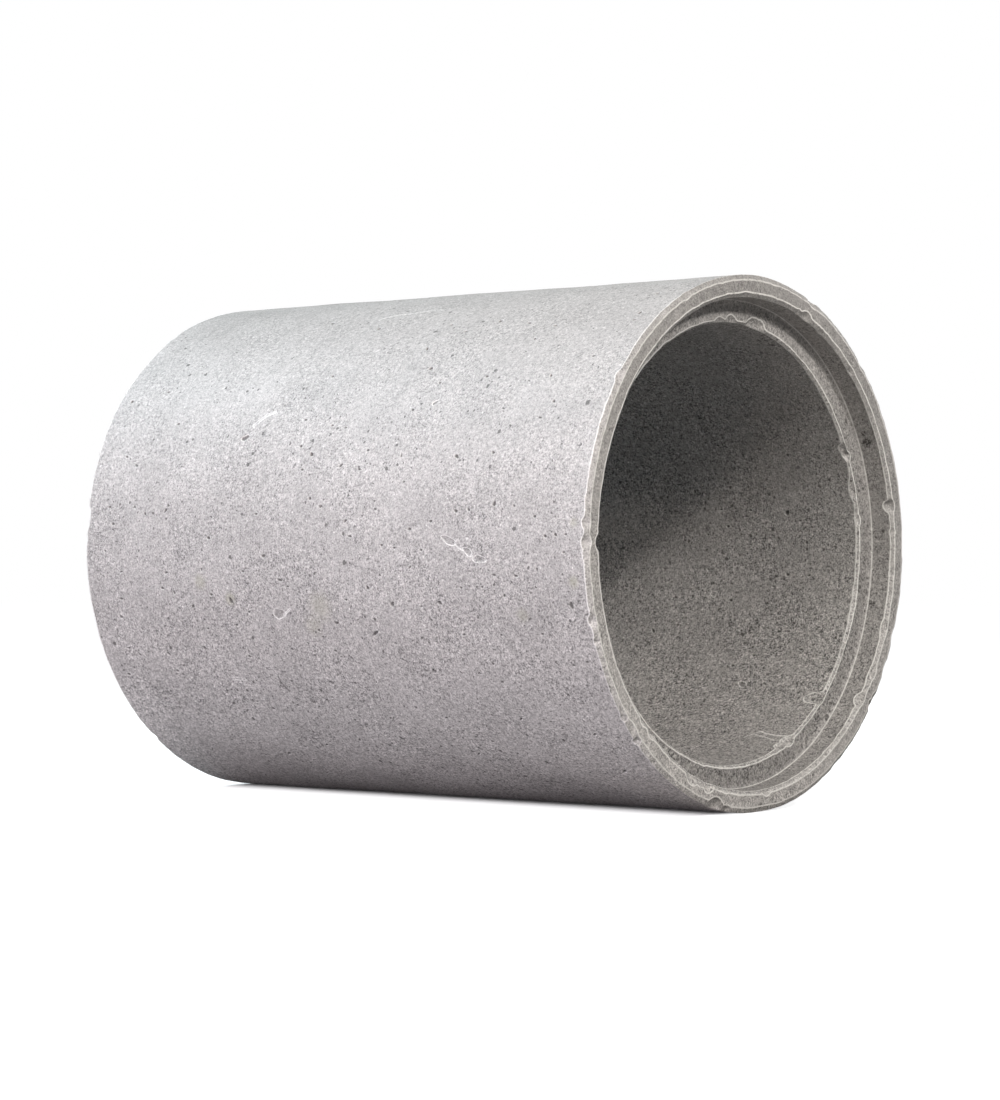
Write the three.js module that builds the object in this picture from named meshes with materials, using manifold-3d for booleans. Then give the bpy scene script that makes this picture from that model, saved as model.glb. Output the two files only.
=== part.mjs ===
// Precast concrete sewer pipe: one length of rebated-joint pipe, lying on its side.
//
// Millimetres, +Z up. The bore runs along X. The groove (the socket that the next
// pipe enters) opens at +X, and the tongue (the spigot that enters the pipe before)
// points to -X. The ground is Z = 0, and the origin is midway along the pipe.

import * as THREE from 'three';
import { mergeVertices } from 'three/addons/utils/BufferGeometryUtils.js';
import Module from 'manifold-3d';

// The barrel.
const boreDiameter = 600;
const wallThickness = 63;
const layingLength = 938; // from the groove's rim to the tongue's shoulder

// The groove in the +X end.
const grooveDepth = 37; // from the rim face down to the shoulder
const grooveMouthRadius = 332.5;
const grooveRootRadius = 331.3; // the mould's draft: the mouth is the wider

// The tongue on the -X end.
const jointGap = 3; // left all round between a tongue and its groove
const tongueLength = grooveDepth - jointGap;
const tongueRootRadius = grooveMouthRadius - jointGap;
const tongueTipRadius = grooveRootRadius - jointGap;

// Arrises and inner corners, all straight chamfers and quarter-round fillets.
const barrelChamferAlong = 5.5;
const barrelChamferRadial = 6.5;
const mouthChamfer = 5.5;
const boreChamfer = 4;
const tipChamfer = 5;
const cornerFillet = 4;
const filletSteps = 2; // straight steps in each half of a fillet

// Facets round the pipe. The pipe lies on the middle of one of them.
const roundSegments = 96;

const boreRadius = boreDiameter / 2;
const barrelRadius = boreRadius + wallThickness;
const overallLength = layingLength + tongueLength;

// Places along the bore.
const rim = overallLength / 2;
const grooveShoulder = rim - grooveDepth;
const tongueTip = -overallLength / 2;
const tongueShoulder = tongueTip + tongueLength;

// The arrises that are chipped. Each has the sharp corner it would have without its
// chamfer, and the way out of the concrete there, radially and along the bore.
const arrises = {
  barrel: { radius: barrelRadius, along: rim, outward: [1, 1] },
  mouth: { radius: grooveMouthRadius, along: rim, outward: [-1, 1] },
  bore: { radius: boreRadius, along: grooveShoulder, outward: [-1, 1] },
  farBarrel: { radius: barrelRadius, along: tongueShoulder, outward: [1, -1] },
};

// Spalls knocked out of the arrises in handling. The angle is in degrees from +Y
// towards +Z, the length is round the pipe, and the reach is down each face.
const spalls = [
  { arris: 'barrel', angle: 68, length: 15, reach: 10 },
  { arris: 'barrel', angle: 44.5, length: 14, reach: 9 },
  { arris: 'barrel', angle: -21, length: 17, reach: 9.5 },
  { arris: 'barrel', angle: -39, length: 16, reach: 12 },
  { arris: 'barrel', angle: -104, length: 28, reach: 13 },
  { arris: 'barrel', angle: -135, length: 14, reach: 10 },
  { arris: 'barrel', angle: -164, length: 17, reach: 10 },
  { arris: 'barrel', angle: 180, length: 25, reach: 12 },
  { arris: 'barrel', angle: 143.5, length: 19, reach: 10 },
  { arris: 'mouth', angle: 69, length: 18, reach: 10.5 },
  { arris: 'mouth', angle: 9.5, length: 19, reach: 12 },
  { arris: 'mouth', angle: -21, length: 17, reach: 9 },
  { arris: 'mouth', angle: -32.5, length: 16, reach: 9.5 },
  { arris: 'mouth', angle: -40.5, length: 21, reach: 11.5 },
  { arris: 'mouth', angle: -108, length: 20, reach: 11.5 },
  { arris: 'mouth', angle: -114, length: 24, reach: 12 },
  { arris: 'mouth', angle: 180, length: 20, reach: 11.5 },
  { arris: 'bore', angle: 80, length: 34, reach: 11.5 },
  { arris: 'bore', angle: 91, length: 22, reach: 10 },
  { arris: 'bore', angle: 25.5, length: 26, reach: 10 },
  { arris: 'bore', angle: 15.5, length: 28, reach: 9 },
  { arris: 'bore', angle: -45.7, length: 21, reach: 15 },
  { arris: 'bore', angle: -66.5, length: 26, reach: 12 },
  { arris: 'farBarrel', angle: 178, length: 36, reach: 9 },
  { arris: 'farBarrel', angle: -137, length: 18, reach: 8.5 },
];

// A spall is a scoop with a smaller one run into its side. Each is an ellipsoid on
// the arris's sharp corner, flattened towards the concrete as a broken face is.
const scoops = [
  { shift: 0, size: 1 },
  { shift: 0.42, size: 0.7 },
];
const scoopDepth = 0.8; // of the reach, straight into the arris
const scoopBreadth = 1.4; // of the reach, across the arris
const scoopDetail = 1; // subdivisions of its icosahedron

const wasm = await Module();
wasm.setup();

// Half of the pipe's section, as (radius, place along the bore), anticlockwise.
function wallSection() {
  const section = new THREE.Path();

  // The barrel and its two outer arrises.
  section.moveTo(barrelRadius - barrelChamferRadial, tongueShoulder);
  section.lineTo(barrelRadius, tongueShoulder + barrelChamferAlong);
  section.lineTo(barrelRadius, rim - barrelChamferAlong);
  section.lineTo(barrelRadius - barrelChamferRadial, rim);

  // Over the rim and down the groove's wall to its shoulder.
  section.lineTo(grooveMouthRadius + mouthChamfer, rim);
  section.lineTo(grooveMouthRadius, rim - mouthChamfer);
  section.lineTo(grooveRootRadius, grooveShoulder + cornerFillet);
  section.absarc(
    grooveRootRadius - cornerFillet,
    grooveShoulder + cornerFillet,
    cornerFillet,
    0,
    -Math.PI / 2,
    true
  );

  // Through the bore, with an arris at each end.
  section.lineTo(boreRadius + boreChamfer, grooveShoulder);
  section.lineTo(boreRadius, grooveShoulder - boreChamfer);
  section.lineTo(boreRadius, tongueTip + boreChamfer);
  section.lineTo(boreRadius + boreChamfer, tongueTip);

  // Round the tongue's tip and back along it to its shoulder.
  section.lineTo(tongueTipRadius - tipChamfer, tongueTip);
  section.lineTo(tongueTipRadius, tongueTip + tipChamfer);
  section.lineTo(tongueRootRadius, tongueShoulder - cornerFillet);
  section.absarc(
    tongueRootRadius + cornerFillet,
    tongueShoulder - cornerFillet,
    cornerFillet,
    Math.PI,
    Math.PI / 2,
    true
  );
  section.closePath();

  return section.getPoints(filletSteps);
}

// Places a scoop in the turned section's own frame, where the bore runs along Y and
// an angle of zero, taken from X towards -Z, becomes +Y once the pipe is laid down.
function scoopGeometry(spall, scoop) {
  const { radius, along, outward } = arrises[spall.arris];
  const turn = THREE.MathUtils.degToRad(spall.angle) - Math.PI / 2;
  const slide = (scoop.shift * spall.length) / radius;
  const radial = new THREE.Vector3(Math.sin(turn + slide), 0, Math.cos(turn + slide));
  const alongBore = new THREE.Vector3(0, 1, 0);

  const corner = radial.clone().multiplyScalar(radius).setY(along);
  const out = radial.clone().multiplyScalar(outward[0]);
  out.addScaledVector(alongBore, outward[1]).normalize();
  const round = new THREE.Vector3().crossVectors(alongBore, radial);
  const across = new THREE.Vector3().crossVectors(round, out);

  const reach = spall.reach * scoop.size;
  const geometry = new THREE.IcosahedronGeometry(1, scoopDetail);
  geometry.scale((spall.length * scoop.size) / 2, scoopDepth * reach, scoopBreadth * reach);
  geometry.applyMatrix4(new THREE.Matrix4().makeBasis(round, out, across).setPosition(corner));
  return geometry;
}

// A closed solid from a geometry, with the vertices that its faces share merged.
function solidFrom(geometry) {
  const bare = geometry.clone();
  bare.deleteAttribute('normal');
  bare.deleteAttribute('uv');
  const merged = mergeVertices(bare);
  return new wasm.Manifold(
    new wasm.Mesh({
      numProp: 3,
      vertProperties: new Float32Array(merged.attributes.position.array),
      triVerts: new Uint32Array(merged.index.array),
    })
  );
}

function geometryFrom(solid) {
  const mesh = solid.getMesh();
  const geometry = new THREE.BufferGeometry();
  geometry.setAttribute('position', new THREE.BufferAttribute(mesh.vertProperties, 3));
  geometry.setIndex(new THREE.BufferAttribute(mesh.triVerts, 1));
  geometry.computeVertexNormals();
  return geometry;
}

// The section turned once round the bore. Starting half a facet past the top puts
// flat facets, and not ridges, at the top, the bottom and both sides.
const halfFacet = Math.PI / roundSegments;
let wall = solidFrom(new THREE.LatheGeometry(wallSection(), roundSegments, halfFacet));

for (const spall of spalls) {
  for (const scoop of scoops) {
    wall = wall.subtract(solidFrom(scoopGeometry(spall, scoop)));
  }
}

const concrete = new THREE.MeshStandardMaterial({
  name: 'concrete',
  color: '#a9a4a0',
  roughness: 0.92,
  metalness: 0,
  flatShading: true,
});

// The turned section stands along Y, and the quarter turn lays it along X.
const pipe = new THREE.Mesh(geometryFrom(wall), concrete);
pipe.name = 'pipe';
pipe.rotation.z = -Math.PI / 2;
pipe.position.z = barrelRadius * Math.cos(halfFacet);

const sewerPipe = new THREE.Group();
sewerPipe.add(pipe);

export default sewerPipe;
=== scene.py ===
import math

import bpy
import numpy as np
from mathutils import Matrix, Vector


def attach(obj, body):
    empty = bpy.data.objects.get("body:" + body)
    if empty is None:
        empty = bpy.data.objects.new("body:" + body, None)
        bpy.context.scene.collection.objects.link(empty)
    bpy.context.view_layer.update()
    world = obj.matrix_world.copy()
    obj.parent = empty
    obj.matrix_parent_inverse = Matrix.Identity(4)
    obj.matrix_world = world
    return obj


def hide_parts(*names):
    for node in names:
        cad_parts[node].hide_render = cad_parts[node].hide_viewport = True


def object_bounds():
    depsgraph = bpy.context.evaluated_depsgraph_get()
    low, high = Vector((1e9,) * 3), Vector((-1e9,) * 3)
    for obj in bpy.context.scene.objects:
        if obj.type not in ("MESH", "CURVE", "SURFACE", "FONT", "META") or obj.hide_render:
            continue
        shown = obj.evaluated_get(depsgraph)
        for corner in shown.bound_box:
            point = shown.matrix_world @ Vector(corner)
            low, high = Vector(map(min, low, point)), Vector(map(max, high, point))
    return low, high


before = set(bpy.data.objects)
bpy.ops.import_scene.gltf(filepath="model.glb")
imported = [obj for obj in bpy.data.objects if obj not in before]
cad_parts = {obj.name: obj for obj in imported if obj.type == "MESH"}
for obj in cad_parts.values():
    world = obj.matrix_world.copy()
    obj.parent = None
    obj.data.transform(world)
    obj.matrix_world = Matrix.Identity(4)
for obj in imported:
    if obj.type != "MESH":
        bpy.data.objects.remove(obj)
cadLow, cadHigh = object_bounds()
print("frame loaded")

# The pipe lies along X with its groove at +X and its tongue at -X. Lengths are in millimetres until
# the mesh is written, and an angle runs in degrees from +Y towards +Z round the bore.

metre = 0.001
farAway = 30.0  # a distance from an edge or corner past which nothing depends on it
axisHeight = (cadLow.z + cadHigh.z) / 2 / metre
rimX = cadHigh.x / metre
tipX = cadLow.x / metre

section = {
    "barrelRadius": cadHigh.y / metre,
    "boreRadius": 300,
    "grooveDepth": 37,
    "mouthRadius": 332.5,
    "rootRadius": 331.3,
    "jointGap": 3,
    "tongueRootRadius": 329.5,
    "tongueTipRadius": 328.3,
    "cornerFillet": 4,
}
shoulderX = rimX - section["grooveDepth"]
backX = tipX + section["grooveDepth"] - section["jointGap"]  # the tongue's shoulder

# How finely the two plain walls are made, and how every broken edge is rounded.
fineness = {
    "wallRound": 144,
    "barrelRows": 48,
    "boreRows": 44,
    "barrelMargin": 22,  # from an end face to the first plain row
    "boreMargin": 92,
    "softening": 1.2,  # the extra row each side of a broken edge that rounds it
    "softMost": 0.2,  # its greatest share of a chamfer's width
    "chamferRows": (0.36, 0.64),
}
# The two ends. Each runs from one skin over the end's face, along the joint's wall and shoulder to the
# other skin, past three arrises: (name, seed of its breaks, seed of its rubble). Rows lie at these
# shares of each plain stretch, and the inner corner's light line at this share of the way round it.
ends = {
    "groove": {
        "ahead": 1,  # the way along X that its face looks
        "round": 864,
        "face": rimX,
        "shoulder": shoulderX,
        "skins": (section["barrelRadius"], section["boreRadius"]),
        "lip": section["mouthRadius"],
        "root": section["rootRadius"],
        "span": (rimX - fineness["barrelMargin"], rimX - fineness["boreMargin"]),
        "arrises": (("barrel", 101, 111), ("mouth", 102, 112), ("bore", 103, 113)),
        "rows": (
            (0.12, 0.5), (0.25, 0.5, 0.75), (0.18, 0.4, 0.62, 0.84), (0.25, 0.5, 0.75),
            (0.05, 0.15, 0.32, 0.6),
        ),
        "cornerSteps": 4,
        "cornerCrest": 0.25,
    },
    "tongue": {
        "ahead": -1,
        "round": 576,
        "face": tipX,
        "shoulder": backX,
        "skins": (section["boreRadius"], section["barrelRadius"]),
        "lip": section["tongueTipRadius"],
        "root": section["tongueRootRadius"],
        "span": (tipX + fineness["boreMargin"], backX + fineness["barrelMargin"]),
        "arrises": (("farBore", 106, 114), ("tip", 105, 115), ("farBarrel", 104, 116)),
        "rows": ((0.1, 0.45, 0.8), (0.5,), (0.3, 0.7), (0.4,), (0.2, 0.6)),
        "cornerSteps": 3,
        "cornerCrest": 0.5,
    },
}
seeds = {"barrel": 31, "bore": 32, "grit": 61, "swell": 62, "marks": 500}

# Arrises: the plain chamfer's reach along and across the bore, how it wanders, and the breaks in it.
# A break is (angle, length round, reach along, reach across), the reaches from the sharp corner.
arrises = {
    "barrel": {
        "base": (3.9, 6.5),
        "breaks": [
            (-0.5, 34, 5.1, 7.1), (44.5, 19, 5.6, 8.6), (67.6, 22, 6.6, 9.4), (84, 60, 4.6, 7.2),
            (115, 19, 5.6, 8.4), (143.6, 21, 8.9, 7), (171.5, 18, 6.2, 6.8), (176.1, 17, 8.5, 8.6),
            (180, 21, 8.6, 10), (182.4, 20, 6.6, 7.2), (196, 17, 8.9, 7), (200.4, 12, 6.2, 6.8),
            (212, 16, 5.2, 7.1), (218.4, 13, 7.2, 6.8), (222, 30, 5, 9.6), (225.2, 13, 8.9, 7),
            (232, 12, 5.8, 6.8), (255.8, 33, 11.1, 15.4), (259.6, 16, 6.6, 8), (273, 40, 4.8, 7.4),
            (303, 34, 4.6, 7.2), (321, 15, 6.6, 12), (322.8, 24, 5.6, 9.4), (331, 30, 6, 9),
            (339, 28, 5.6, 9),
        ],
    },
    "mouth": {
        "base": (3.6, 4.9),
        "breaks": [
            (3.2, 9, 5.9, 6.1), (9.5, 20, 13, 9.5), (27, 26, 4.3, 5.4), (46.6, 22, 5.3, 6.3),
            (62, 12, 4.9, 5.7), (69, 26, 5.9, 10.2), (72, 10, 5.1, 6.3), (93, 30, 4.1, 6.1),
            (116, 24, 4.3, 5.5), (177, 14, 4.5, 6.3), (180, 24, 9.5, 11), (223.4, 18, 5.7, 7.9),
            (227.4, 20, 7.8, 8.7), (245.6, 32, 7.8, 14.7), (249, 26, 7.8, 10.3),
            (252, 24, 8.8, 13.9), (274.5, 18, 4.7, 8.7), (290, 22, 4.5, 5.5),
            (319.4, 24, 11.6, 7.9), (327.5, 24, 5.1, 8.9), (326, 30, 5.7, 5.7),
            (339.2, 30, 6.2, 7.9), (353, 9, 4.9, 5.9),
        ],
    },
    "bore": {
        "base": (3.4, 2.7),
        "breaks": [
            (-1, 18, 4, 3.2), (6.8, 17, 4, 7.3), (15.4, 38, 9, 3), (24.6, 15, 4.8, 7.7),
            (25.4, 26, 8.8, 3), (27, 16, 11.2, 3.2), (40, 30, 4, 3.1), (52, 24, 4.4, 3.4),
            (80, 46, 5.8, 13), (78.6, 26, 4.8, 12.4), (81.6, 22, 4.8, 12.6), (90.6, 26, 4.8, 9.6),
            (95.7, 23, 4.4, 7.4), (120, 24, 4.2, 3.4), (150, 30, 4.4, 3.6), (206, 26, 4.6, 3.4),
            (240, 30, 4.2, 3.2), (257, 16, 4, 4), (289.6, 22, 4.2, 4.8), (292.6, 21, 12.4, 5),
            (296, 26, 13.8, 8.3), (314.3, 22, 29.8, 5), (343.8, 13, 4.4, 4.5),
        ],
    },
    "farBarrel": {
        "base": (5.3, 6.7),
        "breaks": [
            (174, 46, 10.5, 11), (178.5, 16, 8, 13), (-129, 19, 9, 11), (-100, 26, 10, 9), (-60, 14, 9, 10),
            (-22, 20, 8, 9.5), (24, 17, 10, 9), (55, 24, 8.5, 11), (92, 15, 9, 8.5), (121, 18, 8, 9),
        ],
    },
    "tip": {
        "base": (5, 5),
        "breaks": [
            (158, 20, 9, 9), (111, 16, 8, 10), (70, 22, 9.5, 8), (31, 15, 9, 9.5), (-14, 26, 10, 9),
            (-58, 14, 8, 8.5), (-93, 30, 11, 10), (-140, 16, 8, 9),
        ],
    },
    "farBore": {
        "base": (4.6, 4.3),
        "breaks": [
            (140, 22, 9, 8), (84, 16, 8, 7.5), (38, 26, 12, 7), (-9, 15, 7, 9), (-47, 22, 8, 7),
            (-78, 14, 9, 6.5), (-121, 25, 10, 8),
        ],
    },
}
breaking = {
    "wander": 0.26,  # how far a chamfer's edge strays
    "wanderWave": 42,
    "flutter": 0.07,
    "flutterWave": 13,
    "nibbles": 14,  # small breaks along each arris besides those listed
    "nibbleLength": (6, 13),
    "nibbleReach": (0.3, 1.1),
    "nibbleSides": (0.15, 1),  # it takes one of these shares of its reach on each face
    "skew": 0.12,  # how far a break leans to one side
    "steep": (1.25, 0.8),  # a wide break's slope, and how much steeper a deep one gets
    "scoop": 0.13,  # depth of a break's hollow for each millimetre that it adds
    "scoopMost": 1.5,
    "scoopRound": 0.75,  # below 1, the hollow's floor is flatter and its sides steeper
    "rubble": 0.16,  # how rough a break's hollow is, once it adds the depth that follows
    "rubbleWhole": 5,
    "rubbleWave": 7,
}
# The sines in each wave: how many, and how their numbers of turns spread.
sines = {"round": 26, "spread": 0.45, "wall": 18}

# How far each skin of the casting stands off a true cylinder or plane.
skin = {"swell": 0.34, "swellWave": 210, "grit": 0.07, "within": 0.5}

# Air holes left at random in the two walls, in millimetres, besides those that have a place.
airHoles = {
    "barrel": 38,
    "bore": 30,
    "long": (1.7, 4.6),  # half of the longer axis
    "small": 1.8,  # above 1, more of them are short than long
    "slim": (0.5, 0.95),  # the shorter axis as a share of it
    "depth": (0.55, 1.0),  # as a share of the shorter half
    "lip": 1.2,  # the ring outside the hole's edge
    "rings": ((1, 1, 0), (1, 0, 0), (0.74, 0, 0.7), (0.4, 0, 1)),  # shares of its size, lip and depth
    "lobes": ((2, 0.07), (3, 0.09), (5, 0.05)),  # waves round its outline, and how far each goes
    "room": 1.2,  # how much more than its own reach it clears
    "rim": 0.2,  # how light its edge shows
    # the painted shade in the hole
    "dark": 1.4,  # above 1, its sides are dark before its floor
    "sides": 12,
    "patience": 40,  # places tried for each hole before it is left out
}

# Air holes that have a place: (x, angle, half length, half width, turn). The turn is from the
# direction of the angle towards +X.
pits = {
    "barrel": [
        (-159, 192.4, 5.6, 4.2, 20), (454, 192.8, 5.8, 3.8, 10), (104.7, 199.4, 7.6, 2.8, 118),
        (-8.8, 211.7, 5.2, 3.4, 60), (-58.4, 187.8, 6.2, 2.4, 80), (230, 192.5, 5.6, 2.8, 80),
        (-285, 172.2, 5.4, 2.6, 130), (-233.8, 203.7, 4.6, 3.0, 60), (-194.7, 178.5, 4.4, 2.6, 70),
        (143.8, 139.0, 4.4, 3.0, 90), (251.6, 161.6, 5.0, 2.8, 60), (-15.6, 160.1, 4.2, 3.0, 40),
        (45.3, 162.9, 4.6, 2.4, 130), (89, 159.6, 3.4, 2.2, 90), (81, 163.9, 3.0, 2.0, 90),
        (69, 164.6, 3.2, 2.0, 110), (-26.6, 163.6, 3.6, 1.8, 80), (-3, 170.1, 3.2, 2.4, 90),
        (-2, 172.1, 3.2, 2.2, 90), (19.4, 171.9, 3.4, 2.4, 110), (-103, 173.3, 3.4, 2.0, 90),
        (-178, 178.3, 3.8, 2.0, 90), (67, 175.1, 3.8, 2.2, 130), (76.6, 178.4, 4.0, 2.0, 80),
        (-87, 182.5, 5.0, 2.6, 90), (-107, 180.4, 4.0, 2.0, 140), (-128.8, 185.9, 3.4, 2.0, 90),
        (-210, 185.5, 3.6, 2.0, 20), (-196, 191.1, 4.0, 2.4, 90), (-236, 193.8, 4.4, 2.8, 100),
        (-44.7, 189.2, 3.0, 1.6, 90), (-127, 195, 3.2, 2.0, 90), (-41.6, 197.5, 3.0, 1.8, 60),
        (-156.6, 198, 3.4, 2.0, 90), (-215, 199, 3.0, 2.0, 90), (0.6, 199, 3.8, 2.2, 80),
        (38, 197.2, 4.6, 2.2, 90), (62.5, 192, 3.0, 1.8, 90), (75.6, 190.9, 4.0, 2.6, 90),
        (105, 189.4, 3.6, 3.0, 20), (92, 195.8, 2.8, 2.0, 30), (86, 199.5, 3.2, 2.0, 90),
        (-148.4, 205.5, 3.6, 2.2, 90), (-61, 203.5, 3.4, 2.2, 90), (21, 203.7, 3.8, 2.2, 90),
        (-34.4, 209.5, 3.4, 2.6, 40), (-203, 212.4, 3.2, 1.8, 90), (152.5, 161, 4.4, 1.8, 0),
        (160, 163.1, 3.4, 1.8, 20), (166, 166.9, 3.2, 1.6, 90), (264, 173.3, 4.0, 2.6, 70),
        (286.6, 173.1, 3.4, 2.2, 60), (329.7, 171.9, 4.4, 3.0, 0), (321, 170.4, 3.4, 1.4, 90),
        (221, 175.4, 3.4, 2.2, 90), (184, 177, 3.8, 2.2, 90), (204.7, 181.4, 3.0, 1.8, 90),
        (157, 180.9, 3.0, 1.8, 90), (184, 185, 4.2, 1.6, 130), (197.5, 193.3, 2.6, 1.8, 90),
        (271, 189.3, 2.8, 1.8, 90), (307.8, 189.1, 2.8, 1.8, 90), (343.8, 190.9, 2.8, 2.2, 0),
        (329.7, 186.6, 4.0, 2.0, 90), (367, 186.8, 4.2, 1.8, 90), (402.5, 185.5, 3.6, 1.8, 10),
        (399.4, 174.7, 2.8, 2.2, 90), (418, 178.7, 3.4, 2.2, 80), (435, 178.4, 3.4, 2.2, 60),
        (452, 178.4, 2.8, 1.8, 90), (449, 182, 2.8, 1.6, 90), (262.5, 199.4, 3.2, 1.8, 90),
        (327, 199.3, 2.8, 1.6, 90), (397, 199, 2.8, 1.8, 90), (300, 205.8, 3.0, 2.2, 90),
        (378, 203.8, 3.6, 1.8, 90), (271, 208.2, 4.0, 2.0, 80), (305.6, 210.1, 3.6, 2.0, 100),
        (436, 205.8, 3.0, 1.8, 90), (408.8, 212.9, 3.2, 2.2, 10), (137, 201.6, 3.4, 1.8, 70),
        (-133.4, 118.6, 5.4, 3.0, 60), (-20, 123.2, 4.6, 3.0, 60), (117, 123.5, 4.2, 2.8, 80),
        (158.8, 126.8, 4.8, 3.2, 90), (-36, 139.8, 3.8, 2.2, 70), (131, 137.2, 4.0, 2.0, 90),
        (112.5, 132.6, 5.4, 2.0, 20), (175, 143.3, 3.0, 1.8, 90), (156, 146.7, 5.0, 2.0, 110),
        (65.6, 138.7, 4.0, 1.6, 90), (-47.8, 151.6, 3.8, 2.2, 80), (-66, 148.9, 4.0, 2.2, 90),
        (-39.7, 158.1, 3.0, 2.4, 90), (147.8, 150.2, 3.8, 2.2, 60), (34, 154, 3.6, 1.8, 90),
        (204, 123.2, 4.4, 3.2, 40), (434, 113.9, 5.2, 4.0, 30), (445, 123.5, 4.0, 3.4, 30),
        (448, 126.3, 3.6, 2.6, 90), (315.6, 126.6, 4.0, 2.6, 90), (262.5, 124.9, 4.2, 2.6, 60),
        (156.9, 137.7, 2.8, 1.8, 60), (256, 142.3, 3.4, 2.0, 70), (191.6, 144.6, 4.0, 3.0, 10),
        (367.8, 142.9, 3.2, 2.2, 30), (392, 149.6, 3.2, 2.4, 50), (422, 137.8, 3.8, 2.0, 90),
        (298, 131.2, 3.0, 2.0, 30), (378, 153.4, 4.0, 1.8, 80), (-422, 144.5, 3.8, 2.6, 50),
        (-431, 148.9, 4.6, 2.4, 140), (-356, 142, 3.4, 2.0, 90), (-302, 151.3, 3.6, 2.0, 90),
        (-386, 159.3, 3.4, 2.0, 80), (-361, 161.5, 5.0, 2.2, 60), (-402, 171.2, 4.0, 2.0, 90),
        (-349, 171.3, 3.0, 2.2, 40), (-326, 172.9, 3.4, 2.4, 40), (-391, 175.1, 4.2, 2.2, 90),
        (-428, 176.8, 3.6, 2.0, 90), (-407, 181.2, 3.0, 1.8, 60), (-426, 184.5, 3.4, 1.8, 110),
        (-375, 186, 3.8, 1.8, 90), (-283, 186.2, 4.0, 2.2, 110), (-293, 189.7, 3.6, 2.2, 90),
        (-270, 190.7, 3.2, 2.2, 70), (-382, 192.2, 5.2, 2.2, 90), (-249, 194.5, 4.2, 2.6, 60),
        (-389, 196.5, 4.4, 2.4, 80), (-350, 199.3, 3.4, 2.0, 60), (-311, 205.4, 4.2, 2.6, 50),
        (-391, 204.2, 4.4, 2.0, 90), (-341, 208, 5.6, 2.6, 90), (-306.6, 209.8, 4.0, 2.2, 90),
        (-425, 207.8, 4.4, 2.2, 90), (-413, 211.2, 4.6, 2.6, 90), (-147.5, 219.5, 3.8, 2.8, 60),
        (-95, 218.3, 3.6, 2.2, 80), (-99, 226.7, 4.0, 3.0, 60), (-93.5, 231.1, 3.8, 1.8, 120),
        (-140, 232.3, 4.4, 2.2, 90), (-20, 228.8, 4.0, 1.8, 150), (-189, 235.5, 5.0, 2.4, 120),
        (175, 220.2, 3.6, 1.8, 110), (187.5, 231.7, 4.6, 1.6, 130), (307.5, 219.8, 4.2, 1.8, 130),
        (420, 223.4, 4.0, 2.2, 130), (422.5, 235.8, 5.0, 2.4, 130), (-20, 215.7, 3.2, 2.0, 90),
    ],
    "bore": [
        (327, 9.1, 5.0, 4.0, 30), (164.6, 15.6, 4.0, 2.8, 20), (208.8, 10.2, 3.0, 1.8, 90),
        (262, 9.9, 3.2, 2.0, 90), (262.7, 7.7, 3.6, 2.4, 90), (285.8, 8, 3.6, 2.2, 90),
        (344, 8.2, 3.2, 2.0, 90), (219, 5.5, 4.0, 2.2, 90), (182, 3.2, 3.2, 1.8, 90),
        (328, -8.1, 3.8, 2.4, 90), (365, -8.3, 3.8, 1.8, 80), (182.7, -6.6, 3.4, 2.0, 120),
        (303.8, -11.4, 3.2, 1.6, 90), (318.5, -12.1, 3.2, 2.2, 90), (230, -15.4, 4.2, 2.4, 90),
        (362.7, -18.4, 2.6, 2.4, 0), (377, -17.3, 4.6, 2.4, 70), (221.5, -20.8, 3.2, 1.8, 90),
        (260.8, -24.3, 3.2, 2.0, 90), (376, -29.7, 4.2, 2.2, 90), (298, -31.9, 3.4, 2.4, 90),
        (267, -35.3, 4.2, 2.0, 90), (303.8, -37.5, 3.0, 1.8, 60), (359.5, -51.5, 3.4, 2.6, 90),
        (245.4, -58.8, 4.4, 2.6, 90), (233, -49.3, 3.0, 1.6, 90), (99.2, -24.7, 6.0, 2.6, 130),
    ],
}
# Marks that have a place: (x, angle, half length, half width, turn, depth, rim, hollow shade). The rim is
# how light its broken edge shows, and the hollow shade how dark its floor is painted, a painted shade.
ovals = {
    "barrel": [
        (253, 179.4, 13.4, 4.8, 69, 0.9, 0.6, 0.35), (286.4, 181.8, 8.6, 4.4, 52, 0.8, 0.6, 0.35),
        (305.8, 183.3, 11.4, 4.9, 84, 0.9, 0.6, 0.35), (-68.6, 195.3, 11.2, 7.4, 96, 1.0, 0.62, 0.4),
        (-154.5, 155.6, 7.4, 4.2, 110, 2.6, 0.6, 0.9), (-95, 147.4, 8.6, 3.4, 100, 0.7, 0.0, 0.4),
        (-187, 211.5, 11.5, 1.6, 89, 0.5, 0.9, 0.0), (6, 116.9, 50, 6.6, 102, 0.5, 0.6, 0.0),
        (183, 148.6, 6.2, 2.6, 125, 1.6, 0.5, 0.8),
    ],
    "bore": [
        (197.3, -13.6, 5.2, 4.6, 90, 0.8, 0.5, 0.3), (299, -41.6, 7.6, 4.8, 125, 1.2, 0.6, 0.5),
    ],
}
# Grooves scratched or cracked into a wall: ((x, angle) of each point, half width, depth, rim, hollow
# shade), the last being the painted shade of its floor.
grooves = {
    "barrel": [
        (((-145, 152.6), (-128, 150.2), (-113, 149.2)), 2.2, 0.4, 0.5, 0.0),
        (((264, 180.2), (270, 181.0), (278, 181.5)), 0.7, 0.4, 0.6, 0.1),
        (((291, 182.5), (297, 182.9)), 0.7, 0.4, 0.6, 0.1),
        (((-61, 195.5), (-54, 195.0), (-47.5, 194.2)), 1.2, 0.4, 0.6, 0.1),
        (((-107.5, 210.6), (-106.5, 212.2), (-98, 214.4)), 2.6, 1.2, 0.1, 0.9),
    ],
    "bore": [],
}
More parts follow.
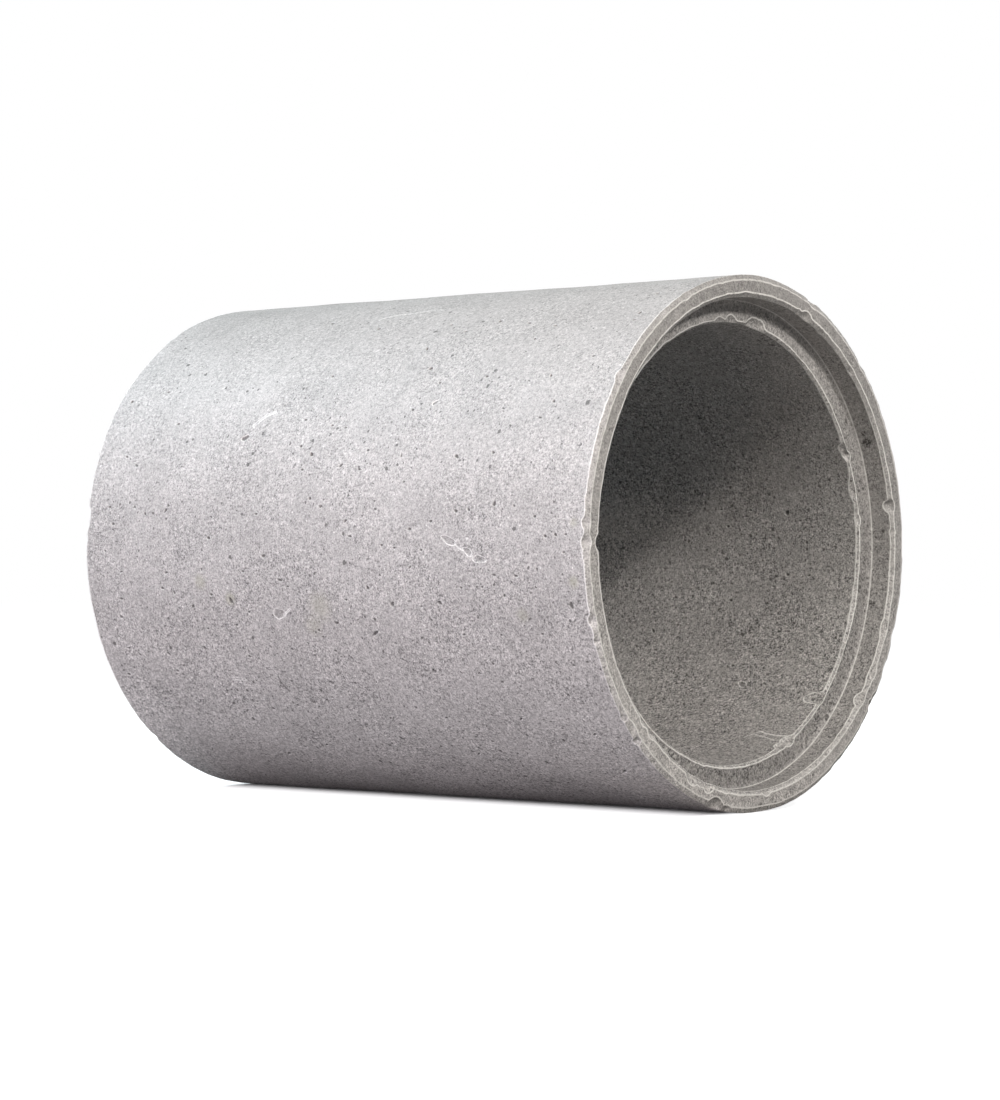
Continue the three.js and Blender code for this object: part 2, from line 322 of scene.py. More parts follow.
# How the cells that hold marks are made.
patch = {
    "inset": 3.0,  # their stitched margin
    "sides": 11,
    "finer": 1.5,  # how much finer the marks' light lines are than an arris's
    "floor": 0.35,  # where an oval's floor starts, as a share of its half width
    "bowl": 0.8,  # below 1, an oval's sides are steep and its floor is flat
    "room": 1.15,
    "grit": 0.6,
}


# A wave round the pipe: sines of whole numbers of turns, so that it closes on itself.
def wander(degrees, radius, wavelength, size, seed):
    rng = np.random.default_rng(seed)
    middle = 2 * math.pi * radius / wavelength
    turns = np.round(rng.normal(middle, sines["spread"] * middle, sines["round"]))
    turns = np.unique(np.maximum(1, turns))
    phases = rng.uniform(0, 2 * math.pi, turns.size)
    waves = np.sin(np.radians(degrees)[..., None] * turns + phases)
    return size * math.sqrt(2 / turns.size) * waves.sum(-1)


# The same over a wall: each sine also has a slant along the bore.
def swell(x, degrees, radius, wavelength, size, seed):
    rng = np.random.default_rng(seed)
    count = sines["wall"]
    turns = np.round(rng.normal(0, 2 * math.pi * radius / wavelength, count))
    slants = rng.normal(0, 2 * math.pi / wavelength, count)
    phases = rng.uniform(0, 2 * math.pi, count)
    total = np.zeros(np.broadcast(x, degrees).shape)
    for turn, slant, phase in zip(turns, slants, phases):
        total += np.sin(np.radians(degrees) * turn + x * slant + phase)
    return size * math.sqrt(2 / count) * total


# How far an arris is broken back on each of its two faces, as functions of the angle: the plain
# chamfer, plus its wander, plus (1 - t^2)^e for each break, with t from -1 to 1 along it. The deeper
# a break is for its length, the smaller is e, and the steeper are its ends.
def brokenReach(name, degrees, radius, seed):
    arris = arrises[name]
    rng = np.random.default_rng(seed)
    plain = []
    for side, base in enumerate(arris["base"]):
        slow = wander(degrees, radius, breaking["wanderWave"], breaking["wander"], seed + 10 + side)
        quick = wander(degrees, radius, breaking["flutterWave"], breaking["flutter"], seed + 20 + side)
        plain.append(base + slow + quick)
    count = breaking["nibbles"]
    lengths = rng.uniform(*breaking["nibbleLength"], count)
    extras = rng.uniform(*breaking["nibbleReach"], (count, 2))
    extras = extras * rng.choice(breaking["nibbleSides"], (count, 2))
    nibbles = np.column_stack([rng.uniform(-180, 180, count), lengths, extras + arris["base"]])
    reaches = [side.copy() for side in plain]
    for angle, length, *reach in [*arris["breaks"], *nibbles]:
        skew = rng.uniform(-1, 1) * breaking["skew"]
        arc = (np.mod(degrees - angle + 180, 360) - 180) * math.pi / 180 * radius
        place = arc / (length / 2)
        bend = place + skew * (1 - np.minimum(place * place, 1))
        for side in (0, 1):
            added = max(0, reach[side] - arris["base"][side])
            steep = breaking["steep"][0] - breaking["steep"][1] * min(1, added / length)
            bump = np.maximum(0, 1 - bend * bend) ** steep
            reaches[side] = np.maximum(reaches[side], plain[side] + added * bump)
    return reaches, [np.maximum(0, reaches[side] - arris["base"][side]) for side in (0, 1)]


# How much a line round the pipe leans there: the cosine of its slope, which turns a distance along
# the section into one square to the line.
def lean(reach, radius):
    arcStep = 2 * math.pi * radius / reach.size
    slope = (np.roll(reach, -1) - np.roll(reach, 1)) / (2 * arcStep)
    return 1 / np.sqrt(1 + slope * slope)


# A line round the pipe at one place in its section, or at a place for each point.
def ring(x, radius, count):
    return np.stack([np.broadcast_to(x, count), np.broadcast_to(radius, count)]).astype(float)


# One end's rows are kept here: each row is (x, radius) round the pipe, its distance from the nearest
# broken edge (negative inside the break), and its distance from the nearest inner corner.
class Rows:
    def __init__(self, count):
        self.degrees = np.arange(count) * 360 / count
        self.points = []
        self.edges = []
        self.corners = []

    def add(self, point, edge=farAway, corner=farAway):
        count = self.degrees.size
        self.points.append(ring(*point, count))
        self.edges.append(np.broadcast_to(np.clip(edge, -farAway, farAway), count))
        self.corners.append(np.broadcast_to(np.clip(corner, 0, farAway), count))

    # A chamfer between two broken edges: straight across, and hollowed towards the concrete where
    # a break has widened it.
    def chamfer(self, first, last, leans, extra, inward, seed):
        depth = np.minimum(breaking["scoop"] * extra, breaking["scoopMost"])
        inward = np.array(inward)[:, None] / math.sqrt(2)
        radius = float(np.mean(first[1]))
        rough = np.minimum(extra / breaking["rubbleWhole"], 1) * breaking["rubble"]
        width = np.hypot(*(last - first))
        soft = np.minimum(fineness["softening"], fineness["softMost"] * width)
        self.add(first, 0.0)
        for order, share in enumerate((soft / width, *fineness["chamferRows"], 1 - soft / width)):
            share = np.broadcast_to(share, self.degrees.shape)
            sag = depth * (4 * share * (1 - share)) ** breaking["scoopRound"]
            sag = sag + rough * wander(self.degrees, radius, breaking["rubbleWave"], 1, seed + order)
            point = first + (last - first) * share + inward * sag
            edge = np.minimum(share * leans[0], (1 - share) * leans[1]) * width
            self.add(point, -edge)
        self.add(last, 0.0)

    # Rows across a plain stretch from one line to another, at these shares of the way, with an extra
    # one close to each end that is a broken edge.
    def stretch(self, first, last, shares, leans, corners=(None, None)):
        span = np.hypot(*(last - first))
        soft = fineness["softening"] / span
        inner = [soft + (1 - 2 * soft) * share for share in shares]
        if leans[0] is not None:
            inner = [soft, *inner]
        if leans[1] is not None:
            inner = [*inner, 1 - soft]
        for share in inner:
            nearEdge = nearCorner = np.full(self.degrees.size, farAway)
            for side, way in ((0, share), (1, 1 - share)):
                if leans[side] is not None:
                    nearEdge = np.minimum(nearEdge, way * span * leans[side])
                if corners[side] is not None:
                    nearCorner = np.minimum(nearCorner, way * span + corners[side])
            self.add(first + (last - first) * share, nearEdge, nearCorner)

    # A quarter-round inner corner about a centre, from one direction to another in degrees. Its light
    # line lies at a share of the way round it.
    def fillet(self, centre, radius, start, end, steps, crest):
        for step in range(steps + 1):
            turn = math.radians(start + (end - start) * step / steps)
            away = abs(step / steps - crest) * radius * math.pi / 2
            point = (centre[0] + radius * math.sin(turn), centre[1] + radius * math.cos(turn))
            self.add(point, corner=away)


# Everything that the mesh is made of: points as (x, radius, angle), each with the way out of the
# concrete along x and radius and the values that the material reads, and faces of three or four sides.
class Shell:
    def __init__(self):
        self.points = []
        self.faces = {3: [], 4: []}
        self.count = 0

    # Each value may be a number or an array; what comes back is the points' numbers in that shape.
    def add(self, *place, edge=farAway, corner=farAway, rim=0, hollow=0, grit=0):
        values = np.broadcast_arrays(*place, edge, corner, rim, hollow, grit)
        numbers = self.count + np.arange(values[0].size).reshape(values[0].shape)
        self.points.append(np.stack([value.ravel() for value in values]).astype(float))
        self.count += values[0].size
        return numbers

    def join(self, corners):
        sides = corners.shape[-1]
        self.faces[sides].append(corners.reshape(-1, sides))


# Four-sided faces between neighbouring rings, all the way round.
def between(rings):
    after = np.roll(rings, -1, axis=1)
    return np.stack([rings[:-1], after[:-1], after[1:], rings[1:]], axis=-1)


# Triangles between a ring and one with a whole number of times as many points: each stretch of the
# coarse ring has one triangle of its own, and the fine ring's stretches fan to its nearer end.
def fan(coarse, fine, coarseFirst):
    share = fine.size // coarse.size
    here = fine.reshape(coarse.size, share)
    after = np.roll(fine, -1).reshape(coarse.size, share)
    left = coarse[:, None]
    right = np.roll(coarse, -1)[:, None]
    hub = np.where(np.arange(share) < share // 2, left, right)
    small = np.stack([hub, after, here], axis=-1).reshape(-1, 3)
    large = np.concatenate([left, right, here[:, share // 2, None]], axis=1)
    triangles = np.concatenate([small, large])
    return triangles if coarseFirst else triangles[:, ::-1]


# A plain wall of the pipe: rings of points with room for finer patches. The side is +1 for the
# barrel, whose rings run towards +X, and -1 for the bore, whose rings run back. Places on the wall
# are (around, along) in millimetres, with along = side * x, so that turning from the first to the
# second is anticlockwise seen from outside the concrete.
class Wall:
    def __init__(self, shell, side, radius, start, end, rows):
        self.shell = shell
        self.side = side
        self.radius = radius
        self.count = fineness["wallRound"]
        self.xs = np.linspace(start, end, rows)
        self.arc = 2 * math.pi * radius / self.count  # the width of a cell
        degrees = np.arange(self.count) * 360 / self.count
        self.rings = shell.add(self.xs[:, None], radius, degrees[None, :], 0, side)
        self.free = np.ones((rows - 1, self.count), bool)

    def around(self, degrees):
        return np.radians(degrees) * self.radius

    def pointsAt(self, around, along, depth, **values):
        degrees = np.degrees(around / self.radius)
        radius = self.radius - self.side * depth
        return self.shell.add(along * self.side, radius, degrees, 0, self.side, **values)

    # The rows and columns of cells that hold a rectangle, or None where it leaves the wall.
    def cells(self, around, along, reachAround, reachAlong):
        rows = self.xs * self.side
        low = int(np.searchsorted(rows, along - reachAlong)) - 1
        high = int(np.searchsorted(rows, along + reachAlong))
        left = math.floor((around - reachAround) / self.arc)
        right = math.ceil((around + reachAround) / self.arc)
        if low < 0 or high >= rows.size:
            return None
        return low, high, left, right

    def isFree(self, block):
        low, high, left, right = block
        return bool(self.free[low:high, np.arange(left, right) % self.count].all())

    # Takes a block of cells out and gives back the loop of points round it, anticlockwise, with
    # their places.
    def open(self, block):
        low, high, left, right = block
        wide, tall = right - left, high - low
        self.free[low:high, np.arange(left, right) % self.count] = False
        rows = [low] * wide + [*range(low, high)] + [high] * wide + [*range(high, low, -1)]
        columns = [*range(left, right)] + [right] * tall + [*range(right, left, -1)] + [left] * tall
        loop = self.rings[rows, np.mod(columns, self.count)]
        return loop, np.array(columns) * self.arc, self.xs[rows] * self.side

    # An air hole: an uneven ellipse whose sides fall from a sharp lip to a rounded floor. Its rings
    # are the ellipse grown or shrunk, and their points face those of the loop round the block.
    def airHole(self, x, degrees, long, wide, turn, depth, rng):
        around, along = float(self.around(degrees)), x * self.side
        axes = (math.cos(turn), math.sin(turn))
        lip, rim = airHoles["lip"], airHoles["rim"]
        reach = ovalReach(long, wide, *axes) * airHoles["room"] + lip
        block = self.cells(around, along, *reach)
        if block is None or not self.isFree(block):
            return False
        loop, loopAround, loopAlong = self.open(block)
        across, aside = turned(loopAround - around, loopAlong - along, *axes)
        facing = np.unwrap(np.arctan2(aside / wide, across / long))
        share = max(1, round(airHoles["sides"] / loop.size))
        gap = np.diff(np.append(facing, facing[0] + 2 * math.pi))
        facing = (facing[:, None] + gap[:, None] * np.arange(share) / share).ravel()
        uneven = unevenness(facing, rng)
        before = loop
        for scale, lipShare, down in airHoles["rings"]:
            grown = lip * lipShare
            across = (long * scale + grown) * uneven * np.cos(facing)
            aside = (wide * scale + grown) * uneven * np.sin(facing)
            across, aside = turned(across, aside, axes[0], -axes[1])
            edge = grown - wide * (1 - scale)
            # Its sides and floor are painted dark, a painted shade in the hole.
            dark = min(1, airHoles["dark"] * down)
            points = self.pointsAt(
                around + across, along + aside, depth * down, edge=edge, rim=rim, hollow=dark
            )
            self.shell.join(fan(before, points, True))
            before = points
        middle = self.pointsAt(around, along, depth, edge=-wide, rim=rim, hollow=1.0)
        self.shell.join(np.stack([before, np.roll(before, -1), np.full(before.size, middle)], axis=-1))
        return True

    # A block of cells made again as a fine grid, sunk where marks cross it.
    def marked(self, block, shapes):
        low, high, left, right = block
        loop, _, _ = self.open(block)
        sides = patch["sides"]
        inset = patch["inset"]
        around = np.linspace(left * self.arc + inset, right * self.arc - inset, (right - left) * sides + 1)
        first, last = self.xs[[low, high]] * self.side
        along = np.linspace(first + inset, last - inset, (high - low) * sides + 1)
        around, along = np.meshgrid(around, along)
        edge = np.full(around.shape, farAway)
        depth, rim, hollow = np.zeros((3, *around.shape))
        for shape in shapes:
            distance, sunk, light, dark = shape(around, along)
            nearer = np.abs(distance) < np.abs(edge)
            rim = np.where(nearer, light, rim)
            edge = np.where(nearer, distance, edge)
            depth = np.maximum(depth, sunk)
            hollow = np.maximum(hollow, dark)
        edge = edge * patch["finer"]
        grid = self.pointsAt(around, along, depth, edge=edge, rim=rim, hollow=hollow, grit=patch["grit"])
        fine = np.concatenate([grid[0, :-1], grid[:-1, -1], grid[-1, :0:-1], grid[:0:-1, 0]])
        self.shell.join(fan(loop, fine, True))
        self.shell.join(np.stack([grid[:-1, :-1], grid[:-1, 1:], grid[1:, 1:], grid[1:, :-1]], axis=-1))

    def close(self):
        self.shell.join(between(self.rings)[self.free])


# A place in a turned oval's own directions: along its longer axis, and to the side of it.
def turned(across, aside, cosine, sine):
    return across * cosine + aside * sine, aside * cosine - across * sine


# How far a turned oval reaches round the pipe and along it.
def ovalReach(long, wide, cosine, sine):
    return np.hypot([long * cosine, long * sine], [wide * sine, wide * cosine])


# How far from the middle of an uneven oval each facing point of its outline lies, as a share.
def unevenness(facing, rng):
    total = np.ones(np.shape(facing))
    for turns, size in airHoles["lobes"]:
        total = total + size * np.sin(turns * facing + rng.uniform(0, 2 * math.pi))
    return total


# An oval hollow over a grid of places: the distance from its edge is (share of the way out - 1)
# divided by how fast that share grows there, and the floor starts some way in.
def ovalHollow(wall, mark, seed):
    x, degrees, long, wide, turn, depth, rim, dark = mark
    middle = (float(wall.around(degrees)), x * wall.side)
    axes = (math.cos(math.radians(turn)), math.sin(math.radians(turn)) * wall.side)

    def shape(around, along):
        across, aside = turned(around - middle[0], along - middle[1], *axes)
        across, aside = across / long, aside / wide
        uneven = unevenness(np.arctan2(aside, across), np.random.default_rng(seed))
        share = np.maximum(np.hypot(across, aside) / uneven, 0.05)
        growth = np.hypot(across / long, aside / wide) / share
        distance = (share - 1) / np.maximum(growth, 0.02)
        inside = np.clip(-distance / (patch["floor"] * wide), 0, 1)
        # The last value is the painted shade on its floor.
        return distance, depth * inside ** patch["bowl"], rim, dark * inside

    return (*middle, *(ovalReach(long, wide, *axes) * patch["room"])), shape


# A groove along a line of points: the distance from the nearest stretch, less half its width.
def groove(wall, mark):
    places, half, depth, rim, dark = mark
    line = np.array([(float(wall.around(degrees)), x * wall.side) for x, degrees in places])

    def shape(around, along):
        place = np.stack([around, along], axis=-1)
        nearest = np.full(around.shape, np.inf)
        for start, end in zip(line[:-1], line[1:]):
            way = end - start
            share = np.clip(((place - start) @ way) / (way @ way), 0, 1)
            nearest = np.minimum(nearest, np.linalg.norm(place - start - share[..., None] * way, axis=-1))
        inside = np.clip((half - nearest) / half, 0, 1)
        # The last value is the painted shade on its floor.
        return nearest - half, depth * inside, rim, dark * inside

    middle = (line.min(0) + line.max(0)) / 2
    reach = (line.max(0) - line.min(0)) / 2 + half
    return (*middle, *reach), shape


# Cuts the marks with a place of their own into a wall. Marks whose cells overlap share one block.
def markWall(wall, name):
    shapes = [ovalHollow(wall, mark, seeds["marks"] + number) for number, mark in enumerate(ovals[name])]
    shapes += [groove(wall, mark) for mark in grooves[name]]
    blocks = []
    for (around, along, reachAround, reachAlong), shape in shapes:
        block = wall.cells(around, along, reachAround + patch["inset"], reachAlong + patch["inset"])
        if block is None:
            raise RuntimeError(f"a mark at {around:.0f}, {along:.0f} leaves the {name}")
        together = [shape]
        apart = []
        for other, others in blocks:
            rowsMeet = block[0] < other[1] and other[0] < block[1]
            if rowsMeet and block[2] < other[3] and other[2] < block[3]:
                pairs = zip((min, max, min, max), block, other)
                block = tuple(outermost(mine, its) for outermost, mine, its in pairs)
                together += others
            else:
                apart.append((other, others))
        blocks = [*apart, (block, together)]
    for block, together in blocks:
        wall.marked(block, together)


# Sinks the air holes that have a place, then the others wherever cells are free.
def pitWall(wall, name, rng):
    made = 0
    for x, degrees, long, wide, turn in pits[name]:
        depth = wide * rng.uniform(*airHoles["depth"])
        made += wall.airHole(x, degrees, long, wide, math.radians(turn) * wall.side, depth, rng)
    least, most = airHoles["long"]
    for _ in range(airHoles[name]):
        for _ in range(airHoles["patience"]):
            x = rng.uniform(*sorted((wall.xs[0], wall.xs[-1])))
            degrees = rng.uniform(0, 360)
            long = least + (most - least) * rng.random() ** airHoles["small"]
            wide = long * rng.uniform(*airHoles["slim"])
            depth = wide * rng.uniform(*airHoles["depth"])
            if wall.airHole(x, degrees, long, wide, rng.uniform(0, math.pi), depth, rng):
                made += 1
                break
    return made


# One end's rows. The places are written as for the groove: the tongue is the same section turned by
# half a turn, so that the signs of x and radius change together.
def endRows(name):
    end = ends[name]
    ahead, face, shoulder, lip, root = (end[key] for key in ("ahead", "face", "shoulder", "lip", "root"))
    first, last = end["skins"]
    rows = Rows(end["round"])
    broken = []
    extras = []
    for (arris, seed, _), radius in zip(end["arrises"], (first, lip, last)):
        reach, extra = brokenReach(arris, rows.degrees, radius, seed)
        broken.append(reach)
        extras.append(sum(extra))
    (firstAlong, firstAcross), (lipAlong, lipAcross), (lastAlong, lastAcross) = broken
    firstAcross, lipAcross = keepBetween(firstAcross, lipAcross, abs(first - lip))
    leans = [
        lean(firstAlong, first), lean(firstAcross, first), lean(lipAcross, lip),
        lean(lipAlong, lip), lean(lastAcross, last), lean(lastAlong, last),
    ]
    taper = (lip - root) / (face - shoulder)
    fillet = section["cornerFillet"]
    places = [
        (end["span"][0], first),
        (face - ahead * firstAlong, first),
        (face, first - ahead * firstAcross),
        (face, lip + ahead * lipAcross),
        (face - ahead * lipAlong, lip - ahead * taper * lipAlong),
        (shoulder + ahead * fillet, root),
        (shoulder, root - ahead * fillet),
        (shoulder, last + ahead * lastAcross),
        (shoulder - ahead * lastAlong, last),
        (end["span"][1], last),
    ]
    line = [ring(*place, rows.degrees.size) for place in places]
    crest = end["cornerCrest"]
    filletRound = fillet * math.pi / 2
    shares = end["rows"]
    rubble = [seed for _, _, seed in end["arrises"]]

    rows.stretch(line[0], line[1], shares[0], (None, leans[0]))
    rows.chamfer(line[1], line[2], leans[0:2], extras[0], (-ahead, -ahead), rubble[0])
    rows.stretch(line[2], line[3], shares[1], leans[1:3])
    rows.chamfer(line[3], line[4], leans[2:4], extras[1], (-ahead, ahead), rubble[1])
    rows.stretch(line[4], line[5], shares[2], (leans[3], None), (None, filletRound * crest))
    centre = (shoulder + ahead * fillet, root - ahead * fillet)
    start = 90 - 90 * ahead
    rows.fillet(centre, fillet, start, start - 90, end["cornerSteps"], crest)
    rows.stretch(line[6], line[7], shares[3], (None, leans[4]), (filletRound * (1 - crest), None))
    rows.chamfer(line[7], line[8], leans[4:6], extras[2], (-ahead, ahead), rubble[2])
    rows.stretch(line[8], line[9], shares[4], (leans[5], None))
    return rows


# Two arrises that share a narrow face leave at least this much of it between them.
def keepBetween(first, second, width, least=3.0):
    over = np.maximum(first + second - (width - least), 0)
    total = first + second
    return first - over * first / total, second - over * second / total


# Writes the rows of one end into the shell as a block of rings. The way out is square to the line
# from the row before to the row after.
def addRows(shell, rows):
    points = np.stack(rows.points)
    edges = np.stack(rows.edges)
    corners = np.stack(rows.corners)
    along = np.gradient(points, axis=0)
    along /= np.hypot(along[:, 0], along[:, 1])[:, None]
    rings = shell.add(
        points[:, 0], points[:, 1], rows.degrees, -along[:, 1], along[:, 0],
        edge=edges, corner=corners, rim=1, grit=1,
    )
    shell.join(between(rings))
    return rings


# Sets every point out from its true place by the swell and grit, and writes the mesh.
def writePipe(shell):
    values = np.concatenate(shell.points, axis=1)
    quads, triangles = (np.concatenate(shell.faces[sides]) for sides in (4, 3))
    used = np.unique(np.concatenate([quads.ravel(), triangles.ravel()]))
    number = np.full(values.shape[1], -1)
    number[used] = np.arange(used.size)
    quads, triangles = number[quads], number[triangles]
    x, radius, degrees, outX, outRadius, edge, corner, rim, hollow, grit = values[:, used]

    rng = np.random.default_rng(seeds["grit"])
    stand = swell(x + radius, degrees, axisHeight, skin["swellWave"], skin["swell"], seeds["swell"])
    stand += skin["grit"] * grit * rng.normal(size=used.size) - skin["within"]
    x = x + outX * stand
    radius = radius + outRadius * stand
    turn = np.radians(degrees)
    places = np.stack([x, radius * np.cos(turn), axisHeight + radius * np.sin(turn)], axis=1) * metre
    places[:, 2] = np.maximum(places[:, 2], 0)  # it rests on the floor

    mesh = bpy.data.meshes.new("pipeConcrete")
    mesh.vertices.add(used.size)
    mesh.vertices.foreach_set("co", places.astype(np.float32).ravel())
    loops = np.concatenate([quads.ravel(), triangles.ravel()])
    mesh.loops.add(loops.size)
    mesh.loops.foreach_set("vertex_index", loops.astype(np.int32))
    starts = np.concatenate([np.arange(len(quads)) * 4, quads.size + np.arange(len(triangles)) * 3])
    mesh.polygons.add(starts.size)
    mesh.polygons.foreach_set("loop_start", starts.astype(np.int32))
    mesh.update(calc_edges=True)
    mesh.shade_smooth()
    for name, worth in (("edge", edge), ("corner", corner), ("rim", rim), ("hollow", hollow)):
        attribute = mesh.attributes.new(name, "FLOAT", "POINT")
        attribute.data.foreach_set("value", worth.astype(np.float32))
    if mesh.validate():
        raise RuntimeError("the pipe's mesh had faces that Blender had to mend")
    piece = bpy.data.objects.new("pipe_concrete", mesh)
    bpy.context.scene.collection.objects.link(piece)
    print(f"pipe mesh: {len(quads) * 2 + len(triangles)} triangles")
    return piece


# The whole casting: four blocks of rings, joined in a loop round its section.
def castPipe():
    shell = Shell()
    (barrelEnd, boreStart), (boreEnd, barrelStart) = (ends[name]["span"] for name in ("groove", "tongue"))
    barrel = Wall(shell, 1, section["barrelRadius"], barrelStart, barrelEnd, fineness["barrelRows"])
    grooveRings = addRows(shell, endRows("groove"))
    bore = Wall(shell, -1, section["boreRadius"], boreStart, boreEnd, fineness["boreRows"])
    tongueRings = addRows(shell, endRows("tongue"))
    for wall, name in ((barrel, "barrel"), (bore, "bore")):
        markWall(wall, name)
        holes = pitWall(wall, name, np.random.default_rng(seeds[name]))
        wall.close()
        print(f"{name}: {holes} air holes")
    shell.join(fan(barrel.rings[-1], grooveRings[0], True))
    shell.join(fan(bore.rings[0], grooveRings[-1], False))
    shell.join(fan(bore.rings[-1], tongueRings[0], True))
    shell.join(fan(barrel.rings[0], tongueRings[-1], False))
    return writePipe(shell)


pipe = castPipe()
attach(pipe, "root")
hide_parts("pipe")


# Shader nodes by short names. A value may be a number, a colour or another node's socket.
class Nodes:
    def __init__(self, tree):
        self.tree = tree

    def feed(self, socket, value):
        if isinstance(value, bpy.types.NodeSocket):
            self.tree.links.new(value, socket)
        else:
            socket.default_value = value

    def new(self, kind, feeds=None, **settings):
        node = self.tree.nodes.new(kind)
        for name, value in settings.items():
            setattr(node, name, value)
        for name, value in (feeds or {}).items():
            self.feed(node.inputs[name], value)
        return node

    def math(self, operation, *values):
        return self.new("ShaderNodeMath", dict(enumerate(values)), operation=operation).outputs[0]

    def product(self, first, *others):
        for other in others:
            first = self.math("MULTIPLY", first, other)
        return first

    def largest(self, first, *others):
        for other in others:
            first = self.math("MAXIMUM", first, other)
        return first

    def vector(self, operation, *values):
        node = self.new("ShaderNodeVectorMath", dict(enumerate(values)), operation=operation)
        scalar = operation in ("LENGTH", "DISTANCE", "DOT_PRODUCT")
        return node.outputs["Value" if scalar else "Vector"]

    def scaled(self, place, scale):
        feeds = {0: place, "Scale": scale}
        return self.new("ShaderNodeVectorMath", feeds, operation="SCALE").outputs["Vector"]

    def joined(self, x, y, z):
        return self.new("ShaderNodeCombineXYZ", {"X": x, "Y": y, "Z": z}).outputs[0]

    # From low to high as the value goes from start to end, with eased ends.
    def ease(self, value, start, end, low=0.0, high=1.0):
        feeds = {"Value": value, "From Min": start, "From Max": end, "To Min": low, "To Max": high}
        return self.new("ShaderNodeMapRange", feeds, interpolation_type="SMOOTHSTEP").outputs["Result"]

    def noise(self, place, scale, detail=3, roughness=0.6, output="Fac"):
        feeds = {"Vector": place, "Scale": scale, "Detail": detail, "Roughness": roughness}
        return self.new("ShaderNodeTexNoise", feeds).outputs[output]

    def blend(self, share, first, second):
        return self.new("ShaderNodeMix", {0: share, 6: first, 7: second}, data_type="RGBA").outputs[2]

    def attribute(self, name):
        return self.new("ShaderNodeAttribute", attribute_name=name).outputs["Fac"]

    def group(self, tree, feeds):
        node = self.new("ShaderNodeGroup", node_tree=tree)
        for name, value in feeds.items():
            self.feed(node.inputs[name], value)
        return node.outputs


# An empty node group with these sockets, ready to be filled.
def newGroup(name, inputs, output):
    tree = bpy.data.node_groups.new(name, "ShaderNodeTree")
    for socket, kind in inputs.items():
        tree.interface.new_socket(socket, in_out="INPUT", socket_type="NodeSocket" + kind)
    tree.interface.new_socket(output, in_out="OUTPUT", socket_type="NodeSocketFloat")
    nodes = Nodes(tree)
    return nodes, nodes.new("NodeGroupInput").outputs, nodes.new("NodeGroupOutput").inputs[output]


# Small round holes strewn over a surface. Each cell has one, where its chance colour is below the
# share. Its radius in cells is the size times (chance^2.5 * 1.2 + 0.5), and its side takes up the
# outer three tenths of that.
def strewnHoles():
    inputs = {"Vector": "Vector", "Scale": "Float", "Share": "Float", "Size": "Float"}
    nodes, given, out = newGroup("strewnHoles", inputs, "Hole")
    cell = nodes.new("ShaderNodeTexVoronoi", {"Vector": given["Vector"], "Scale": given["Scale"]})
    chance = nodes.new("ShaderNodeSeparateColor", {"Color": cell.outputs["Color"]}).outputs
    spread = nodes.math("MULTIPLY_ADD", nodes.math("POWER", chance["Red"], 2.5), 1.2, 0.5)
    radius = nodes.product(given["Size"], spread)
    depth = nodes.ease(cell.outputs["Distance"], radius, nodes.product(radius, 0.7))
    there = nodes.math("LESS_THAN", chance["Green"], given["Share"])
    nodes.feed(out, nodes.product(depth, there))
    return nodes.tree


# A fresh set of nodes for a material or a world.
def emptied(owner):
    owner.use_nodes = True
    owner.node_tree.nodes.clear()
    return Nodes(owner.node_tree)


# A stroke between two points: 1 on its line, easing to 0 at the width.
def stroke():
    inputs = {"Place": "Vector", "From": "Vector", "To": "Vector", "Width": "Float"}
    nodes, given, out = newGroup("stroke", inputs, "Mask")
    way = nodes.vector("SUBTRACT", given["To"], given["From"])
    gone = nodes.vector("SUBTRACT", given["Place"], given["From"])
    length = nodes.vector("DOT_PRODUCT", way, way)
    along = nodes.math("DIVIDE", nodes.vector("DOT_PRODUCT", gone, way), length)
    along = nodes.largest(nodes.math("MINIMUM", along, 1.0), 0.0)
    away = nodes.vector("LENGTH", nodes.vector("SUBTRACT", gone, nodes.scaled(way, along)))
    nodes.feed(out, nodes.ease(away, given["Width"], nodes.product(given["Width"], 0.3)))
    return nodes.tree


# The concrete's colours are linear.
concrete = {
    "colour": (0.436, 0.417, 0.411),
    # the colour of the painted shade in holes and pits
    "dark": (0.075, 0.070, 0.067, 1),
    "light": (0.97, 0.95, 0.93, 1),
    "stain": (0.385, 0.375, 0.295, 1),
    "roughness": 0.6,
    "specular": 0.5,
    "bump": 1.0,
    "bumpDepth": 0.0012,
    "grainRaised": 0.68,  # how far the grain stands out, as a share of the depth
}
# Its grain: noises as (features per metre, how far they lighten and darken, detail, roughness).
grains = {
    "grain": (400, 1.3, 3, 0.62),
    "fleck": (170, 0.57, 2, 0.6),
    "cloud": (13, 0.2, 4, 0.6),
    "drift": (3.1, 0.10, 2, 0.5),
    "patches": (11, 0.35, 0.65, 0.78, 1.18),  # scale, the noise's low and high, the grain's strength there
    "bore": 1.5,  # how much stronger the grain is inside the bore
    "heights": (0.24, -0.28, 0.82, 1.28),  # from this height above the axis to that, its strength there
    "streak": (70, 5, 0.10),  # scale along the pipe, scale round it, strength
}
